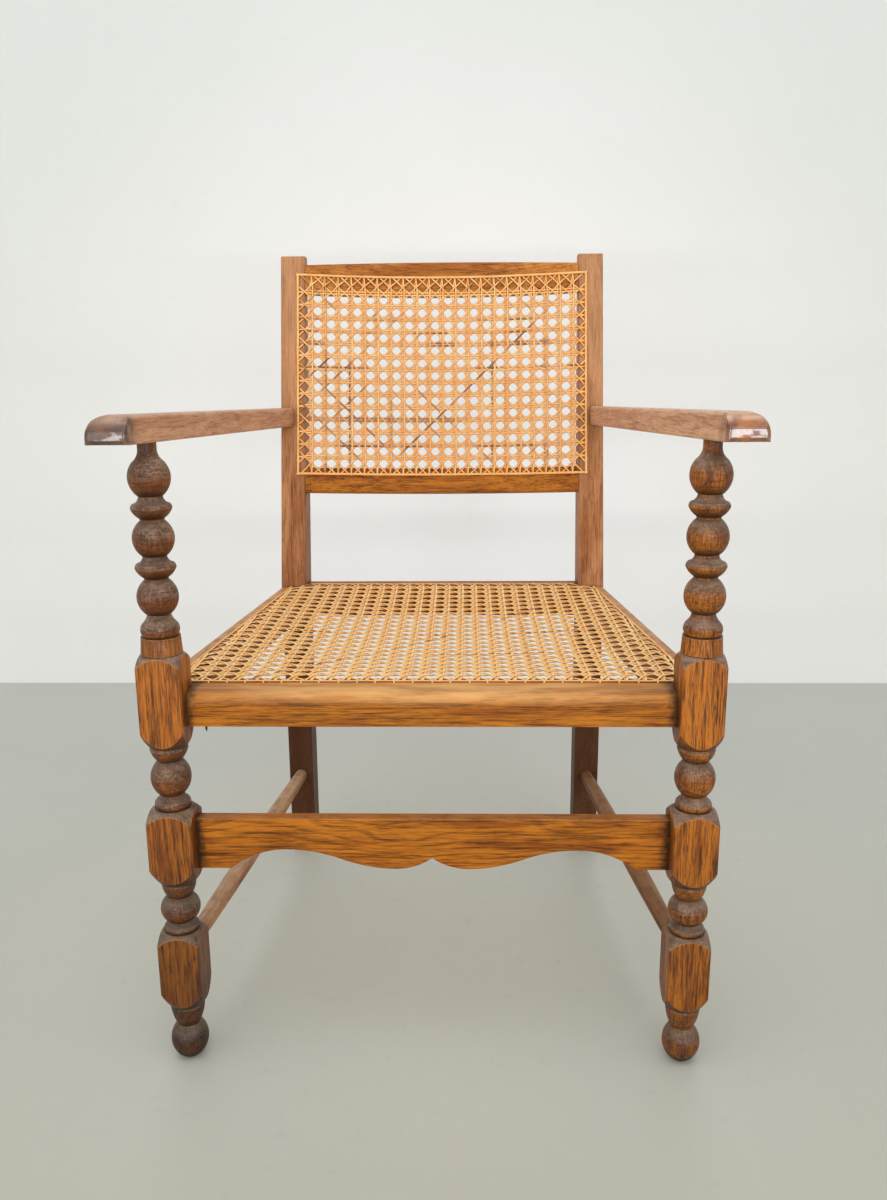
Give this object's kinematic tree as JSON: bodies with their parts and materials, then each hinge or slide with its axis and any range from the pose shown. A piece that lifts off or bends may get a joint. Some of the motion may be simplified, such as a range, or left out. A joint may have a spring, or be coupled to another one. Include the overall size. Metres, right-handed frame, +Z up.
{
  "type": "open armchair",
  "caption": "Oak open armchair with spool-turned front posts, flat tapered arms, a raked bowed back and hand-caned seat and back panels.",
  "frame": {"origin": "on the floor, under the middle of the bounding box", "axes": "+Z up, -Y the way the sitter faces, +X to the right as seen from the front"},
  "size_m": [0.5846, 0.6764, 0.8655],
  "materials": {
    "oak_turned": "old wax over dark stained oak",
    "oak_rail": "old wax over golden brown oak",
    "oak_stile": "old wax over reddish brown oak",
    "oak_arm": "rubbed and polished by hands",
    "oak_hidden": "bare",
    "cane": "satin natural rattan bark",
    "cane_binder": "satin natural rattan bark"
  },
  "bodies": {
    "root": {"front_post_left": "oak_turned", "front_post_right": "oak_turned", "rear_stile_left": "oak_stile", "rear_stile_right": "oak_stile", "front_seat_rail": "oak_rail", "rear_seat_rail": "oak_rail", "side_seat_rail_left": "oak_rail", "side_seat_rail_right": "oak_rail", "crest_rail": "oak_stile", "back_lower_rail": "oak_stile", "arm_left": "oak_arm", "arm_right": "oak_arm", "arm_dowels": "oak_hidden", "front_stretcher": "oak_rail", "side_stretcher_left": "oak_stile", "side_stretcher_right": "oak_stile", "seat_cane": "cane", "seat_cane_binder": "cane_binder", "seat_cane_pegs": "oak_hidden", "back_cane": "cane", "back_cane_binder": "cane_binder", "back_cane_pegs": "oak_hidden"}
  },
  "joints": []
}
